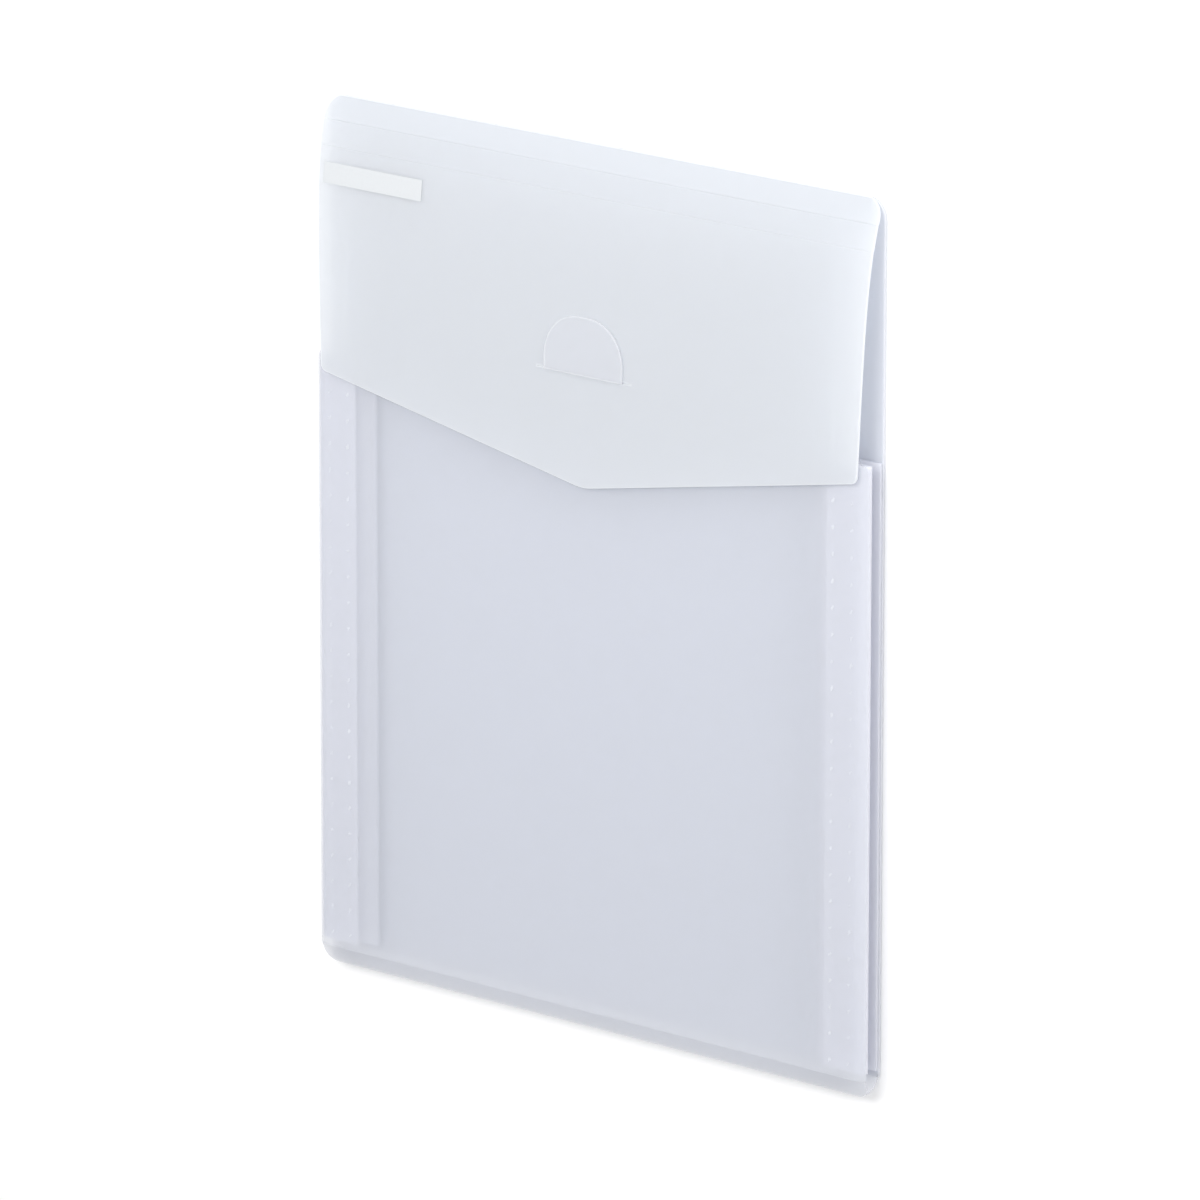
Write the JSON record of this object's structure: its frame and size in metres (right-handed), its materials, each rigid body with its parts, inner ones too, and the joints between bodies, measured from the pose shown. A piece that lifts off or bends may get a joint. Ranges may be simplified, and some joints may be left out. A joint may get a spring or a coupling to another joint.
{
  "type": "document wallet",
  "caption": "Frosted plastic wallet for A4 papers, with V gussets at the sides, a V-edged flap and a tongue that locks through a slit in it.",
  "frame": {"origin": "centre of the back panel's outer face, on which the wallet lies, midway between the bottom fold and the top fold", "axes": "+X to the right as seen from the front, +Y up the wallet towards the top fold, +Z out of the front panel"},
  "size_m": [0.262, 0.3296, 0.0113],
  "materials": {
    "frosted_sheet": "frosted polypropylene sheet, soft sheen",
    "gusset_strip": "thinner frosted polypropylene sheet",
    "label_film": "smooth white label"
  },
  "bodies": {
    "back": {"back_panel": "frosted_sheet", "gusset_flange_back_left": "gusset_strip", "gusset_flange_back_right": "gusset_strip"},
    "front": {"front_panel": "frosted_sheet", "gusset_flange_front_left": "gusset_strip", "gusset_flange_front_right": "gusset_strip"},
    "tongue": {"lock_tongue": "frosted_sheet"},
    "spine_upper": {"flap_spine_upper": "frosted_sheet"},
    "spine_lower": {"flap_spine_lower": "frosted_sheet"},
    "flap": {"flap": "frosted_sheet", "label": "label_film"},
    "bottom_back": {"bottom_gusset_back": "frosted_sheet"},
    "bottom_front": {"bottom_gusset_front": "frosted_sheet"},
    "gusset_back_left": {"gusset_half_back_left": "gusset_strip"},
    "gusset_front_left": {"gusset_half_front_left": "gusset_strip"},
    "gusset_back_right": {"gusset_half_back_right": "gusset_strip"},
    "gusset_front_right": {"gusset_half_front_right": "gusset_strip"}
  },
  "joints": [
    {"name": "pocket_flatten", "type": "slide", "parent": "back", "child": "front", "axis": [0, 0, 1], "range_m": [-0.0035, 0], "stiffness_N_per_m": 1500},
    {"name": "tongue_flex", "type": "hinge", "parent": "front", "child": "tongue", "pos_m": [0, 0.0814, 0.0107], "axis": [1, 0, 0], "range_deg": [0, 45], "stiffness_Nm_per_rad": 0.005},
    {"name": "flap_open", "type": "hinge", "parent": "back", "child": "spine_upper", "pos_m": [0, 0.165, 0.0006], "axis": [-1, 0, 0], "range_deg": [0, 150], "deforming": ["lock_tongue"]},
    {"name": "spine_unbend", "type": "hinge", "parent": "spine_upper", "child": "spine_lower", "pos_m": [0, 0.1557, 0.0042], "axis": [-1, 0, 0], "range_deg": [0, 15.2]},
    {"name": "flap_settle", "type": "hinge", "parent": "spine_lower", "child": "flap", "pos_m": [0, 0.1464, 0.0063], "axis": [-1, 0, 0], "range_deg": [-2.4, 0]},
    {"name": "bottom_back_fold", "type": "hinge", "parent": "back", "child": "bottom_back", "pos_m": [0, -0.15737, 0.0006], "axis": [1, 0, 0], "range_deg": [0, 14.8]},
    {"name": "bottom_middle_fold", "type": "hinge", "parent": "bottom_back", "child": "bottom_front", "pos_m": [0, -0.16387, 0.0047], "axis": [1, 0, 0], "range_deg": [-29.6, 0]},
    {"name": "gusset_back_fold_left", "type": "hinge", "parent": "back", "child": "gusset_back_left", "pos_m": [-0.13046, 0, 0.00125], "axis": [0, 1, 0], "range_deg": [0, 4.2]},
    {"name": "gusset_inner_fold_left", "type": "hinge", "parent": "gusset_back_left", "child": "gusset_front_left", "pos_m": [-0.106, 0, 0.00397], "axis": [0, 1, 0], "range_deg": [-8.4, 0]},
    {"name": "gusset_back_fold_right", "type": "hinge", "parent": "back", "child": "gusset_back_right", "pos_m": [0.13046, 0, 0.00125], "axis": [0, 1, 0], "range_deg": [-4.2, 0]},
    {"name": "gusset_inner_fold_right", "type": "hinge", "parent": "gusset_back_right", "child": "gusset_front_right", "pos_m": [0.106, 0, 0.00397], "axis": [0, 1, 0], "range_deg": [0, 8.4]}
  ],
  "couplings": [
    {"joint": "spine_unbend", "follows": "flap_open", "ratio": 0.1},
    {"joint": "flap_settle", "follows": "pocket_flatten", "rad_per_m": 11.364},
    {"joint": "bottom_back_fold", "follows": "pocket_flatten", "rad_per_m": -71.99},
    {"joint": "bottom_middle_fold", "follows": "pocket_flatten", "rad_per_m": 143.98},
    {"joint": "gusset_back_fold_left", "follows": "pocket_flatten", "rad_per_m": -20.376},
    {"joint": "gusset_inner_fold_left", "follows": "pocket_flatten", "rad_per_m": 40.752},
    {"joint": "gusset_back_fold_right", "follows": "pocket_flatten", "rad_per_m": 20.376},
    {"joint": "gusset_inner_fold_right", "follows": "pocket_flatten", "rad_per_m": -40.752}
  ]
}
